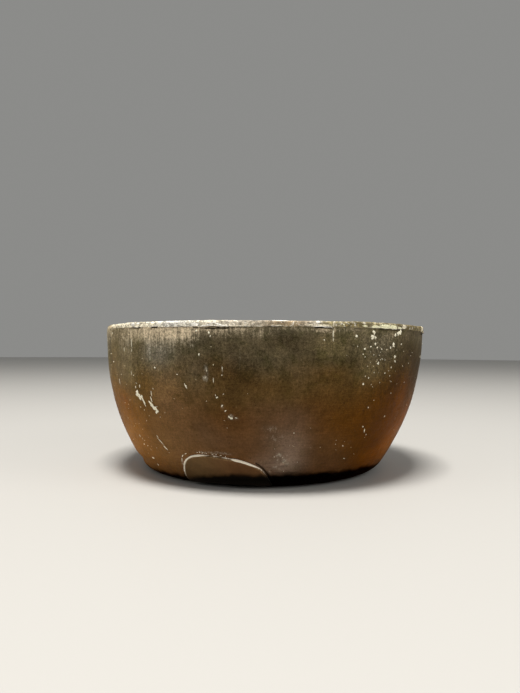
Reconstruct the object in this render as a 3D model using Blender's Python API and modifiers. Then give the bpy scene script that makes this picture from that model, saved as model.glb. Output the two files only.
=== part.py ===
"""Go stone bowl: a raised metal bowl with a folded rim strip and a soldered repair patch.

Metres, +Z up. The origin is the centre of the flat base, and the patched side faces -Y.
Run with: blender --background --python part.py
"""

import math

import bmesh
import bpy
from mathutils import Vector

NAME = "go_stone_bowl"
MM = 0.001

# Driving dimensions
RIM_DIAMETER = 150 * MM       # over the rim strip
HEIGHT = 66 * MM              # table to the top of the rim strip
SHEET = 1.2 * MM              # thickness of the raised bowl
FIT_GAP = 0.3 * MM            # clearance between touching pieces

# Rim strip
STRIP = 0.5 * MM              # its thickness
STRIP_OUTER_LEG = 2.9 * MM    # height on the outside, from the very top
STRIP_INNER_LEG = 3.4 * MM    # height on the inside, from the very top
STRIP_FOLD_RADIUS = 0.5 * MM  # inside radius of its two folds

# Bowl profile
BELLY_HEIGHT = 58 * MM        # the wall is vertical from here up
WALL_CURVE_RADIUS = 87.3 * MM # radius of curvature of the wall at the belly
CORNER_RADIUS = 10 * MM       # round corner between the wall and the flat base

# Repair patch
PATCH_ANGLE = math.radians(-14.5)  # its middle, turned from straight ahead (-Y) about +Z
PATCH_SHEET = 0.8 * MM
PATCH_LOW = 1.6 * MM               # height of its lower edge, clear of the table
PATCH_TOP_SIDE = [                 # left end to right end: (sideways, up) as seen from outside
    (-16.0 * MM, 0.0 * MM),
    (-16.8 * MM, 6.0 * MM),
    (-15.6 * MM, 10.6 * MM),
    (-11.6 * MM, 13.2 * MM),
    (-5.0 * MM, 13.8 * MM),
    (2.5 * MM, 13.1 * MM),
    (9.0 * MM, 11.7 * MM),
    (14.4 * MM, 9.2 * MM),
    (17.0 * MM, 5.8 * MM),
    (18.6 * MM, 0.0 * MM),
]
PATCH_BLANK_HEIGHT = 20 * MM       # the turned sheet that the patch is cut from
PATCH_CUTTER_REACH = 45 * MM       # from the bowl's axis to the middle of the cutting prism
PATCH_CUTTER_DEPTH = 37 * MM       # the prism's depth, inward and outward
SOLDER_BEAD_RADIUS = 0.45 * MM
SOLDER_TOP_SIDE_ENDS = (0.10, 0.86)  # where along the patch's outline the bead starts and stops

# Mesh fineness
WELD_DISTANCE = 0.001 * MM
TURNED_STEPS = 72
WALL_POINTS = 12
CORNER_POINTS = 5
FOLD_POINTS = 3
OUTLINE_POINTS_PER_SPAN = 4

# Worked-out sizes
BELLY_RADIUS = RIM_DIAMETER / 2 - STRIP - FIT_GAP
SHELL_TOP = HEIGHT - STRIP - FIT_GAP


def wall_radius(height):
    """Outer radius of the wall, a parabola that turns vertical at the belly."""
    drop = max(0.0, BELLY_HEIGHT - height)
    return BELLY_RADIUS - drop * drop / (2 * WALL_CURVE_RADIUS)


def corner_join():
    """Angle round the corner arc, from straight down, where its slope equals the wall's."""
    low, high = math.radians(10), math.radians(89)
    for _ in range(60):
        angle = (low + high) / 2
        height = CORNER_RADIUS * (1 - math.cos(angle))
        wall_slope = (BELLY_HEIGHT - height) / WALL_CURVE_RADIUS
        if 1 / math.tan(angle) > wall_slope:
            low = angle
        else:
            high = angle
    return angle


CORNER_ANGLE = corner_join()
CORNER_TOP = CORNER_RADIUS * (1 - math.cos(CORNER_ANGLE))
BASE_RADIUS = wall_radius(CORNER_TOP) - CORNER_RADIUS * math.sin(CORNER_ANGLE)


def outer_profile(top, lowest_angle=0.0):
    """The bowl's outside as (radius, height), from the top down to an angle on the corner arc."""
    points = []
    for i in range(WALL_POINTS):
        height = top + (CORNER_TOP - top) * i / WALL_POINTS
        points.append((wall_radius(height), height))
    for i in range(CORNER_POINTS + 1):
        angle = CORNER_ANGLE + (lowest_angle - CORNER_ANGLE) * i / CORNER_POINTS
        radius = BASE_RADIUS + CORNER_RADIUS * math.sin(angle)
        points.append((radius, CORNER_RADIUS * (1 - math.cos(angle))))
    return points


def offset_outward(points, distance):
    """A profile moved along its own outward normal."""
    moved = []
    for i, (radius, height) in enumerate(points):
        before = points[max(i - 1, 0)]
        after = points[min(i + 1, len(points) - 1)]
        run, fall = after[0] - before[0], after[1] - before[1]
        length = math.hypot(run, fall)
        moved.append((radius - distance * fall / length, height + distance * run / length))
    return moved


def clear_scene():
    for obj in list(bpy.data.objects):
        bpy.data.objects.remove(obj, do_unlink=True)


def make_collection(name):
    collection = bpy.data.collections.new(name)
    bpy.context.scene.collection.children.link(collection)
    return collection


def make_material(name, color, roughness, metallic):
    material = bpy.data.materials.new(name)
    material.use_nodes = True
    shader = material.node_tree.nodes["Principled BSDF"]
    shader.inputs["Base Color"].default_value = (*color, 1.0)
    shader.inputs["Roughness"].default_value = roughness
    shader.inputs["Metallic"].default_value = metallic
    return material


def finish_object(obj, collection, material):
    for other in list(obj.users_collection):
        other.objects.unlink(obj)
    collection.objects.link(obj)
    obj.data.materials.append(material)
    return obj


def turned_surface(name, profile):
    """An open surface turned about Z from a (radius, height) profile."""
    mesh = bpy.data.meshes.new(name)
    edges = [(i, i + 1) for i in range(len(profile) - 1)]
    mesh.from_pydata([(radius, 0.0, height) for radius, height in profile], edges, [])
    obj = bpy.data.objects.new(name, mesh)
    screw = obj.modifiers.new("Turn", "SCREW")
    screw.axis = "Z"
    screw.angle = math.tau
    screw.steps = TURNED_STEPS
    screw.render_steps = TURNED_STEPS
    screw.use_merge_vertices = True
    screw.merge_threshold = 0.00001
    screw.use_smooth_shade = True
    return obj


def thicken(obj, thickness, side):
    """Give a surface its sheet thickness; side is +1 outward or -1 inward."""
    solidify = obj.modifiers.new("Sheet", "SOLIDIFY")
    solidify.thickness = thickness
    solidify.offset = side
    solidify.use_even_offset = True
    return obj


def make_bowl_shell(collection):
    profile = outer_profile(SHELL_TOP) + [(0.0, 0.0)]
    shell = thicken(turned_surface("bowl_shell", profile), SHEET, -1)
    bronze = make_material("brown_bronze", (0.085, 0.055, 0.03), 0.42, 0.9)
    return finish_object(shell, collection, bronze)


def strip_profile():
    """The strip's inner face in section: up the inner leg, over the rim, down the outer leg."""
    inside = BELLY_RADIUS - SHEET - FIT_GAP
    outside = BELLY_RADIUS + FIT_GAP
    top = HEIGHT - STRIP
    points = [(inside, HEIGHT - STRIP_INNER_LEG)]
    for i in range(FOLD_POINTS + 1):
        angle = math.pi / 2 * i / FOLD_POINTS
        points.append((inside + STRIP_FOLD_RADIUS * (1 - math.cos(angle)),
                       top - STRIP_FOLD_RADIUS * (1 - math.sin(angle))))
    for i in range(FOLD_POINTS + 1):
        angle = math.pi / 2 * i / FOLD_POINTS
        points.append((outside - STRIP_FOLD_RADIUS * (1 - math.sin(angle)),
                       top - STRIP_FOLD_RADIUS * (1 - math.cos(angle))))
    points.append((outside, HEIGHT - STRIP_OUTER_LEG))
    return points


def make_rim_binding(collection):
    binding = thicken(turned_surface("rim_binding", strip_profile()), STRIP, 1)
    pewter = make_material("pale_rim_metal", (0.36, 0.34, 0.29), 0.55, 0.7)
    return finish_object(binding, collection, pewter)


def smooth_line(points, per_span):
    """A Catmull-Rom curve through a list of points."""
    line = []
    for i in range(len(points) - 1):
        a = Vector(points[max(i - 1, 0)])
        b = Vector(points[i])
        c = Vector(points[i + 1])
        d = Vector(points[min(i + 2, len(points) - 1)])
        for step in range(per_span):
            t = step / per_span
            line.append(0.5 * (2 * b + (c - a) * t + (2 * a - 5 * b + 4 * c - d) * t ** 2
                               + (3 * b - a - 3 * c + d) * t ** 3))
    line.append(Vector(points[-1]))
    return line


def weld_mesh(mesh):
    work = bmesh.new()
    work.from_mesh(mesh)
    bmesh.ops.remove_doubles(work, verts=work.verts, dist=WELD_DISTANCE)
    work.to_mesh(mesh)
    work.free()


def patch_cutter(collection):
    """A prism with the patch's outline, standing on the wall and pointing outward."""
    outline = smooth_line(PATCH_TOP_SIDE, OUTLINE_POINTS_PER_SPAN)
    curve = bpy.data.curves.new("patch_outline", "CURVE")
    curve.dimensions = "2D"
    curve.fill_mode = "BOTH"
    curve.extrude = PATCH_CUTTER_DEPTH / 2
    spline = curve.splines.new("POLY")
    spline.points.add(len(outline) - 1)
    for point, (sideways, up) in zip(spline.points, outline):
        point.co = (sideways, up, 0.0, 1.0)
    spline.use_cyclic_u = True
    flat = bpy.data.objects.new("patch_outline", curve)
    collection.objects.link(flat)
    flat.location = (PATCH_CUTTER_REACH * math.sin(PATCH_ANGLE),
                     -PATCH_CUTTER_REACH * math.cos(PATCH_ANGLE), 0.0)
    flat.rotation_euler = (math.pi / 2, 0.0, PATCH_ANGLE)
    bpy.context.view_layer.update()

    evaluated = flat.evaluated_get(bpy.context.evaluated_depsgraph_get())
    cutter = bpy.data.objects.new("patch_cutter", bpy.data.meshes.new_from_object(evaluated))
    weld_mesh(cutter.data)
    cutter.matrix_world = flat.matrix_world.copy()
    bpy.data.objects.remove(flat, do_unlink=True)
    collection.objects.link(cutter)
    cutter.hide_render = True
    cutter.display_type = "WIRE"
    return cutter


def patch_low_angle():
    """Angle on the corner arc where the patch's outer face is at the height of its lower edge."""
    outer_arc = CORNER_RADIUS + FIT_GAP + PATCH_SHEET
    return math.acos((CORNER_RADIUS - PATCH_LOW) / outer_arc)


def make_repair_patch(collection, cutters):
    profile = offset_outward(outer_profile(PATCH_BLANK_HEIGHT, patch_low_angle()), FIT_GAP)
    patch = thicken(turned_surface("repair_patch", profile), PATCH_SHEET, 1)
    cut = patch.modifiers.new("Outline", "BOOLEAN")
    cut.operation = "INTERSECT"
    cut.object = patch_cutter(cutters)
    bronze = make_material("patch_bronze", (0.10, 0.07, 0.045), 0.38, 0.9)
    return finish_object(patch, collection, bronze)


def on_wall(sideways, up, clearance):
    """The point that lies off the wall by a clearance, behind a point of the patch's outline."""
    profile = offset_outward(outer_profile(BELLY_HEIGHT), clearance)
    for (r_high, z_high), (r_low, z_low) in zip(profile, profile[1:]):
        if z_low <= up <= z_high:
            share = (up - z_low) / (z_high - z_low)
            radius = r_low + share * (r_high - r_low)
            break
    angle = PATCH_ANGLE + math.asin(sideways / radius)
    return Vector((radius * math.sin(angle), -radius * math.cos(angle), up))


def make_patch_solder(collection):
    """A bead of solder that runs along the patch's edge, off the table at both ends."""
    clearance = SOLDER_BEAD_RADIUS + FIT_GAP
    outline = smooth_line(PATCH_TOP_SIDE, OUTLINE_POINTS_PER_SPAN)
    first, last = (round(end * (len(outline) - 1)) for end in SOLDER_TOP_SIDE_ENDS)
    points = []
    for i in range(first, last + 1):
        along = (outline[i + 1] - outline[i - 1]).normalized()
        away = Vector((-along.y, along.x)) * clearance
        points.append(on_wall(outline[i].x + away.x, outline[i].y + away.y, clearance))

    curve = bpy.data.curves.new("patch_solder", "CURVE")
    curve.dimensions = "3D"
    curve.bevel_depth = SOLDER_BEAD_RADIUS
    curve.bevel_resolution = 2
    curve.use_fill_caps = True
    spline = curve.splines.new("POLY")
    spline.points.add(len(points) - 1)
    for point, place in zip(spline.points, points):
        point.co = (*place, 1.0)
    bead = bpy.data.objects.new("patch_solder", curve)
    solder = make_material("solder", (0.45, 0.43, 0.38), 0.4, 0.9)
    return finish_object(bead, collection, solder)


def build():
    clear_scene()
    parts = make_collection(NAME)
    cutters = make_collection("cutters")
    make_bowl_shell(parts)
    make_rim_binding(parts)
    make_repair_patch(parts, cutters)
    make_patch_solder(parts)


build()
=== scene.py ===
"""Looks of the go stone bowl: old brown bronze, a pale strip folded over its rim, a soldered
repair plate low on the front, and specks of old cream paint.

Metres, unless a name's comment says mm. An angle round the bowl is in degrees from the front
(-Y), positive to the right (+X).
"""

import itertools
import math

import bpy
import numpy as np
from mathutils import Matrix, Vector


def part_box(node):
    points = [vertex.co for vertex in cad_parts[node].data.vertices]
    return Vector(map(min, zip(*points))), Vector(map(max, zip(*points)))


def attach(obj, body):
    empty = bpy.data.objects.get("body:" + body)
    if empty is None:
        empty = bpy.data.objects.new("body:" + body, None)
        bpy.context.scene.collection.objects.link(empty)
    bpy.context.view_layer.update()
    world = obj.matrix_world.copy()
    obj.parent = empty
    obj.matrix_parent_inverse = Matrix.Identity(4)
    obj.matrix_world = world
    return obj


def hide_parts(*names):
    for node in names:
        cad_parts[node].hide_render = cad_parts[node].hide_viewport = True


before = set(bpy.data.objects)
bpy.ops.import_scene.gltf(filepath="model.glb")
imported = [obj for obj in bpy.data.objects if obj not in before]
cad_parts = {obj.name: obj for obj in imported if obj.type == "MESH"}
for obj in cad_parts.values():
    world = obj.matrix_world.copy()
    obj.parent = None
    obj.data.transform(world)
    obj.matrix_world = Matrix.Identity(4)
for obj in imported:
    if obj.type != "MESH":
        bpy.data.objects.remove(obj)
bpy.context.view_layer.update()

MM = 0.001

# Sizes read from the frame
SHELL_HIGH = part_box("bowl_shell")[1]
STRIP_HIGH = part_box("rim_binding")[1]
BELLY_RADIUS = SHELL_HIGH.x
SHELL_TOP = SHELL_HIGH.z
RIM_RADIUS = STRIP_HIGH.x
RIM_TOP = STRIP_HIGH.z

# The bowl's profile, as the CAD source has it
SHEET = 1.2 * MM
BELLY_HEIGHT = 58 * MM
WALL_CURVE_RADIUS = 87.3 * MM
CORNER_RADIUS = 10 * MM

# Camera, as the photograph was taken
CAMERA_DISTANCE = 290.5 * MM
CAMERA_HEIGHT = 55.8 * MM
CAMERA_ASIDE = -2.29 * MM
CAMERA_PITCH = math.radians(0.12)
CAMERA_ROLL = math.radians(-0.37)
CAMERA_LENS = 30.9

# The old bowl leans: its base sits this far to the left of its rim
LEAN = 1.7 * MM


# ---- small tools

def srgb(red, green, blue):
    """A colour given from 0..255, to the shader's linear values."""
    value = np.array([red, green, blue]) / 255
    return np.where(value <= 0.04045, value / 12.92, ((value + 0.055) / 1.055) ** 2.4)


def smooth(value, low, high):
    """0 below low, 1 above high, and a smooth step between; low may be the larger."""
    share = np.clip((value - low) / (high - low), 0.0, 1.0)
    return share * share * (3 - 2 * share)


def angle_between(angle, centre):
    return (angle - centre + 180) % 360 - 180


def near(angle, centre, half):
    """1 at this angle, and 0 well past half this many degrees to both sides."""
    return np.exp(-(angle_between(angle, centre) / half) ** 2)


def mixed(first, second, amount):
    return first + (second - first) * np.asarray(amount)[..., None]


HASH_STEPS = (374761393, 668265263, 951274213)
HASH_MIX = 1274126177
HASH_MASK = 0xFFFFFFFF


def lattice(cell, seed):
    """A random number from -1 to 1 for each cell of a grid."""
    n = (np.sum(cell * HASH_STEPS, axis=-1) + seed * HASH_MIX) & HASH_MASK
    n = ((n ^ (n >> 13)) * HASH_MIX) & HASH_MASK
    return (n ^ (n >> 16)) / (HASH_MASK // 2) - 1.0


def lumps(points, size, seed):
    """Smooth noise from -1 to 1, in lumps about this size across."""
    spot = points / size
    cell = np.floor(spot).astype(np.int64)
    part = spot - cell
    part = part * part * (3 - 2 * part)
    total = 0.0
    for step in itertools.product((0, 1), repeat=3):
        share = np.prod(np.where(step, part, 1 - part), axis=-1)
        total = total + share * lattice(cell + step, seed)
    return total


def band(first, second, count, flip=False):
    """The quads between two rings of points, from the number of each ring's first point."""
    quads = []
    for i in range(count):
        j = (i + 1) % count
        quad = (first + i, second + i, second + j, first + j)
        quads.append((quad[0], quad[3], quad[2], quad[1]) if flip else quad)
    return quads


def fan(ring, middle, count, flip=False):
    """The triangles from a ring of points to one in its middle."""
    pairs = [(ring + i, ring + (i + 1) % count) for i in range(count)]
    return [(*(pair[::-1] if flip else pair), middle) for pair in pairs]


def make_mesh(name, points, faces, smooth_angle=None):
    mesh = bpy.data.meshes.new(name)
    leaning = np.array(points, float)
    leaning[:, 0] -= LEAN * (1 - leaning[:, 2] / RIM_TOP)
    mesh.from_pydata(leaning.tolist(), [], faces)
    mesh.validate()
    mesh.shade_smooth()
    if smooth_angle is not None:
        mesh.set_sharp_from_angle(angle=math.radians(smooth_angle))
    obj = bpy.data.objects.new(name, mesh)
    bpy.context.scene.collection.objects.link(obj)
    return obj


def paint(obj, **layers):
    """Store colours, three numbers for each point, or amounts, one number, under these names."""
    count = len(obj.data.vertices)
    for name, values in layers.items():
        values = np.asarray(values, np.float32).reshape(count, -1)
        if values.shape[1] == 3:
            layer = obj.data.attributes.new(name, "FLOAT_COLOR", "POINT")
            rgba = np.append(values, np.ones((count, 1), np.float32), axis=1)
            layer.data.foreach_set("color", rgba.ravel())
        else:
            layer = obj.data.attributes.new(name, "FLOAT", "POINT")
            layer.data.foreach_set("value", values.ravel())


def make_piece(name, points, faces, sharp_from, material, node, slot, **layers):
    """A finished piece, attached to the root body, with its CAD node hidden; slot is not used."""
    obj = make_mesh(name, points, faces, sharp_from)
    paint(obj, **layers)
    obj.data.materials.append(material)
    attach(obj, "root")
    if node:
        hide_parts(node)


# ---- the wall's shape

def corner_join():
    """Angle round the corner arc, from straight down, where its slope equals the wall's."""
    low, high = math.radians(10), math.radians(89)
    for _ in range(60):
        angle = (low + high) / 2
        drop = BELLY_HEIGHT - CORNER_RADIUS * (1 - math.cos(angle))
        if 1 / math.tan(angle) > drop / WALL_CURVE_RADIUS:
            low = angle
        else:
            high = angle
    return angle


CORNER_ANGLE = corner_join()
CORNER_TOP = CORNER_RADIUS * (1 - math.cos(CORNER_ANGLE))
BASE_RADIUS = (BELLY_RADIUS - (BELLY_HEIGHT - CORNER_TOP) ** 2 / (2 * WALL_CURVE_RADIUS)
               - CORNER_RADIUS * math.sin(CORNER_ANGLE))


def profile_at(height):
    """Radius, and the outward normal's radial and vertical parts, at heights up the outside."""
    height = np.asarray(height, float)
    drop = np.clip(BELLY_HEIGHT - height, 0, None)
    slope = drop / WALL_CURVE_RADIUS
    tilt = 1 / np.sqrt(1 + slope * slope)
    cosine = 1 - np.clip(height, 0, CORNER_TOP) / CORNER_RADIUS
    sine = np.sqrt(1 - cosine * cosine)
    wall = height >= CORNER_TOP
    radius = np.where(wall, BELLY_RADIUS - drop * drop / (2 * WALL_CURVE_RADIUS),
                      BASE_RADIUS + CORNER_RADIUS * sine)
    return radius, np.where(wall, tilt, sine), np.where(wall, -slope * tilt, -cosine)


def round_place(angle, radius, height):
    turned = np.radians(angle)
    return np.stack(np.broadcast_arrays(radius * np.sin(turned), -radius * np.cos(turned),
                                        height), axis=-1)


def on_profile(angle, height):
    return round_place(angle, profile_at(height)[0], height)


# Shallow dents: angle, height, half width, half height, depth (mm)
DENTS = [
    (7, 11, 6, 5, 0.55), (-62, 30, 11, 8, 0.3), (38, 20, 9, 7, 0.25), (104, 16, 9, 7, 0.45),
    (146, 30, 12, 9, 0.5), (203, 45, 13, 9, 0.4), (238, 14, 8, 6, 0.45), (-86, 40, 12, 10, 0.3),
    (76, 44, 12, 9, 0.25), (-76, 4.4, 24, 2.8, 1.2),
]

# The crevice beside the repair plate, where the wall has cracked and been pushed in (mm)
CREVICE = [(-2, 11.1), (-0.9, 10.3), (0.6, 8.8), (2.3, 6.7), (3.4, 5)]
CREVICE_WIDTH = 0.24
CREVICE_DEPTH = 0.55
# The foot of the wall is wrinkled: half width, height (mm, minus is a groove), then points
WRINKLES = [
    (0.42, 0.26, [(2.2, 8.6), (3.4, 7.2), (4.2, 5.6)]),
    (0.3, -0.22, [(4.6, 6.9), (7.6, 6.6), (11, 7), (15, 6.5)]),
    (0.4, 0.18, [(4.8, 5.9), (8, 5.6), (12, 6), (17, 5.6)]),
    (0.5, 0.3, [(4.9, 15.4), (6.4, 14.3), (7.6, 12.4), (9.3, 11)]),
    (0.45, 0.22, [(9.3, 11), (7.4, 10.2), (5.2, 9.2), (4.2, 9.6)]),
    (0.45, -0.22, [(6, 12.6), (6.9, 11.4), (6.2, 10.4)]),
]
WRINKLES.append((CREVICE_WIDTH, -CREVICE_DEPTH, CREVICE))
CRUMPLE = (7, 10.5, 5.4, 4.6)     # angle, height, half width, half height (mm)
CRUMPLE_LUMPS = [(2.9 * MM, 0.17 * MM), (1.3 * MM, 0.09 * MM)]     # size, depth

# Unevenness of the raised sheet: size, depth, seed
UNEVENNESS = [(13 * MM, 0.13 * MM, 3), (4.5 * MM, 0.03 * MM, 5)]
OUT_OF_ROUND = 0.18 * MM
WIDEST_ANGLE = 35
# The wall swells out to meet the strip: angle, how far (mm)
SWELLS = [
    (-180, 0.28), (-140, 0.28), (-118, 0.45), (-62, 0.45), (-42, 0.34), (48, 0.34), (64, 0.08),
    (100, 0.08), (130, 0.28), (180, 0.28),
]
SWELL_HEIGHTS = (54.0 * MM, 62.6 * MM)
SWELL_ENDS = (64.3 * MM, 63.4 * MM)
UNEVEN_FROM = (0.4 * MM, 5 * MM)     # the foot itself stays as turned


def line_distance(angle, height, points):
    """Distance on the wall, in mm, from each spot to a broken line of (angle, height in mm)."""
    radius = profile_at(height)[0] / MM
    nearest = np.full(np.shape(angle), 1e9)
    for (a0, h0), (a1, h1) in zip(points, points[1:]):
        x = radius * np.radians(angle_between(angle, a0))
        y = height / MM - h0
        dx = radius * math.radians(a1 - a0)
        dy = h1 - h0
        share = np.clip((x * dx + y * dy) / (dx * dx + dy * dy), 0, 1)
        nearest = np.minimum(nearest, np.hypot(x - share * dx, y - share * dy))
    return nearest


def blob(angle, height, spot):
    """1 at the middle of an oval spot (angle, height, half width, half height in mm), 0 far off."""
    centre, level, wide, tall = spot
    radius = profile_at(height)[0] / MM
    x = radius * np.radians(angle_between(angle, centre)) / wide
    y = (height / MM - level) / tall
    return np.exp(-(x * x + y * y))


def wall_offset(angle, height):
    """How far the real wall stands outside its plain turned shape."""
    angle, height = np.broadcast_arrays(angle, height)
    place = on_profile(angle, height)
    offset = OUT_OF_ROUND * np.cos(np.radians(2 * (angle - WIDEST_ANGLE)))
    for size, depth, seed in UNEVENNESS:
        offset = offset + depth * lumps(place, size, seed)
    for *spot, depth in DENTS:
        offset = offset - depth * MM * blob(angle, height, spot)
    for width, lift, points in WRINKLES:
        distance = line_distance(angle, height, points) / width
        offset = offset + lift * MM * np.exp(-distance * distance)
    crumpled = blob(angle, height, CRUMPLE)
    for size, depth in CRUMPLE_LUMPS:
        offset = offset + depth * crumpled * lumps(place, size, 7)
    swell = MM * np.interp(angle_between(angle, 0), *np.array(SWELLS).T)
    offset = offset + swell * smooth(height, *SWELL_HEIGHTS) * smooth(height, *SWELL_ENDS)
    return offset * smooth(height, *UNEVEN_FROM)


def wall_point(angle, height, lift=0.0):
    """A point this far off the real wall."""
    radius, out, up = profile_at(height)
    total = wall_offset(angle, height) + lift
    return round_place(angle, radius + out * total, height + up * total)


# ---- colours of the bowl

# The patina from the rim down to the base, as a general rule; the orange of the lower colours is
# partly patina and partly painted reflection of a warm table below
UNDER_RIM = srgb(102, 93, 73)
UPPER = srgb(90, 80, 59)
MIDDLE = srgb(90, 68, 36)
LOWER = srgb(87, 56, 23)
FOOT = srgb(108, 72, 42)
# Black of the painted shade where the wall turns under, on the foot, the plate and the solder
FOOT_SHADE_BLACK = srgb(4, 3, 2)

TAN_OLIVE = srgb(124, 111, 78)
PALE_OLIVE = srgb(128, 119, 97)
OCHRE = srgb(164, 116, 60)
DARK_OCHRE = srgb(98, 70, 28)
BRIGHT_OCHRE = srgb(186, 132, 72)
DRAB = srgb(100, 84, 60)
WARM_BROWN = srgb(138, 105, 67)
UMBER = srgb(62, 46, 27)
SLATE = srgb(80, 75, 61)
TEAL_DARK = srgb(62, 60, 50)
MAUVE = srgb(110, 92, 78)
PALE_MAUVE = srgb(146, 126, 110)
MAUVE_BROWN = srgb(102, 80, 62)
RUSSET = srgb(96, 58, 9)
# EDGE_BROWN and EDGE_GREEN are painted shade at the wall's right edge
EDGE_BROWN = srgb(50, 36, 16)
EDGE_GREEN = srgb(46, 48, 36)
COOL_GREY = srgb(116, 110, 98)
GREY_BROWN = srgb(104, 88, 68)
RUST = srgb(146, 82, 26)
COPPER = srgb(148, 86, 16)
BRIGHT_COPPER = srgb(182, 112, 44)
OLIVE_GOLD = srgb(98, 84, 52)
SMOKE = srgb(106, 101, 86)
PALE_SMOKE = srgb(134, 122, 98)
MIST = srgb(150, 146, 128)
DEEP_RUSSET = srgb(90, 50, 0)
INSIDE_WALL = srgb(96, 74, 48)
INSIDE_FLOOR = srgb(130, 104, 70)
UNDERSIDE = srgb(88, 66, 42)

# The foot's colour gives way to these: colour, heights where each starts and is full (mm)
PATINA = [(LOWER, 7, 17), (MIDDLE, 27, 41), (UPPER, 43, 54), (UNDER_RIM, 56, 64)]
PATINA_DRIFT = 3.5            # how far those heights wander (mm)

# Stains, painted reflection, shade and highlight over it: angle, height, half width, half height
# (mm), strength, colour
# EDGE_BROWN and EDGE_GREEN at the right edge are painted shade
# MAUVE and PALE_MAUVE near the crumpled dent low on the front are painted highlight
# The ochre, copper and russet ones low on the front's left and right are partly patina and partly
# painted reflection of a warm table
STAINS = [
    (-64, 52, 26, 16, 0.85, TAN_OLIVE), (-84, 46, 14, 22, 0.7, PALE_OLIVE),
    (-62, 20, 22, 20, 0.9, OCHRE), (-82, 16, 16, 16, 0.8, COPPER),
    (-36, 48, 14, 12, 0.5, TAN_OLIVE), (-34, 53, 9, 6, 0.75, COOL_GREY),
    (-30, 44, 9, 4, 0.5, GREY_BROWN), (-56, 33, 5, 4, 0.35, RUST),
    (-31, 37, 10, 7, 0.75, WARM_BROWN), (-41, 41, 6, 7, 0.6, DARK_OCHRE),
    (-20, 43, 7, 9, 0.75, DRAB), (-20, 47, 6, 5, 0.5, SMOKE), (-53, 48, 9, 8, 0.55, PALE_SMOKE),
    (-76, 54, 10, 11, 0.65, MIST), (-76, 60, 10, 5, 0.6, MIST), (-62, 22, 6, 9, 0.35, BRIGHT_OCHRE),
    (0, 28, 7, 8, 0.4, MAUVE_BROWN), (10, 30, 7, 5, 0.4, MAUVE_BROWN),
    (26, 12, 9, 6, 0.4, MAUVE_BROWN), (-20, 26, 5, 8, 0.45, UMBER),
    (-40, 35, 4, 4, 0.4, DARK_OCHRE), (5, 58.5, 8, 3, 0.4, UMBER),
    (50, 23, 8, 14, 0.8, DEEP_RUSSET), (25, 18, 8, 6, 0.45, MAUVE_BROWN),
    (0, 11, 4, 3.5, 0.5, PALE_MAUVE), (-36, 19, 8, 8, 0.35, WARM_BROWN),
    (34, 47, 9, 4, 0.85, TAN_OLIVE), (20, 54, 6, 4, 0.5, TAN_OLIVE),
    (38, 61, 11, 3.5, 0.8, TAN_OLIVE), (11, 46, 6, 6, 0.4, DRAB),
    (-32, 20, 13, 14, 0.5, WARM_BROWN), (-20, 20, 24, 9, 0.4, MAUVE_BROWN),
    (-30, 34, 9, 6, 0.4, MAUVE_BROWN), (-10, 47, 9, 9, 0.7, UMBER),
    (-20, 57, 6, 6, 0.22, TEAL_DARK), (8.5, 18, 10, 11, 0.7, MAUVE), (8, 11, 9, 6, 0.6, MAUVE),
    (9, 17, 6, 7, 0.45, PALE_MAUVE), (13, 8.5, 5, 3, 0.6, UMBER), (-4, 9, 3, 4, 0.2, UMBER),
    (0.5, 8.5, 5, 3, 0.4, MAUVE), (21, 14, 8, 6, 0.4, UMBER), (28, 55, 14, 7, 0.45, OLIVE_GOLD),
    (14, 50, 12, 7, 0.25, UMBER), (44, 27, 20, 18, 0.85, RUSSET), (28, 22, 12, 14, 0.4, RUSSET),
    (61, 20, 10, 11, 0.75, COPPER), (78, 54, 10, 8, 0.4, TAN_OLIVE),
    (36, 58, 12, 7, 0.75, PALE_OLIVE), (67, 61, 11, 4, 0.85, PALE_OLIVE),
    (20, 57, 7, 4, 0.45, TAN_OLIVE), (82, 36, 11, 8, 0.8, EDGE_BROWN),
    (76, 16, 12, 12, 0.7, COPPER), (80, 46, 10, 11, 0.85, EDGE_GREEN), (65, 26, 4, 9, 0.5, RUST),
    (67, 45, 7, 6, 0.5, EDGE_GREEN), (54, 36, 4, 6, 0.45, COPPER), (58, 40, 8, 10, 0.3, UMBER),
    (-78, 29, 13, 12, 0.8, RUSSET), (60, 13, 9, 7, 0.75, BRIGHT_COPPER),
    (-71, 9, 12, 8, 0.85, BRIGHT_OCHRE), (48, 10, 9, 5, 0.5, COPPER),
    (9, 10.5, 6, 3.5, 0.75, PALE_MAUVE), (108, 22, 22, 16, 0.7, OCHRE),
    (118, 50, 22, 12, 0.6, TAN_OLIVE), (150, 34, 20, 16, 0.5, WARM_BROWN),
    (178, 18, 22, 12, 0.6, RUSSET), (196, 52, 24, 9, 0.5, OLIVE_GOLD),
    (222, 32, 18, 16, 0.6, UMBER), (240, 14, 18, 11, 0.6, OCHRE), (252, 48, 16, 10, 0.5, SLATE),
]

# Painted shade blackens the foot where the wall turns under: how high it reaches (mm) at these
# angles
FOOT_SHADE_REACH = [
    (-180, 3.4), (-110, 2.6), (-60, 2.2), (-40, 3), (-30, 3.2), (-21, 4.8), (-10, 6.2), (0, 6.2),
    (10, 6.4), (20, 6.2), (34, 5.9), (50, 6), (60, 4.7), (100, 3.4), (180, 3.4),
]
FOOT_SHADE_EDGE = (1.3, -0.9)      # it fades between these heights over and under its reach (mm)

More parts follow.
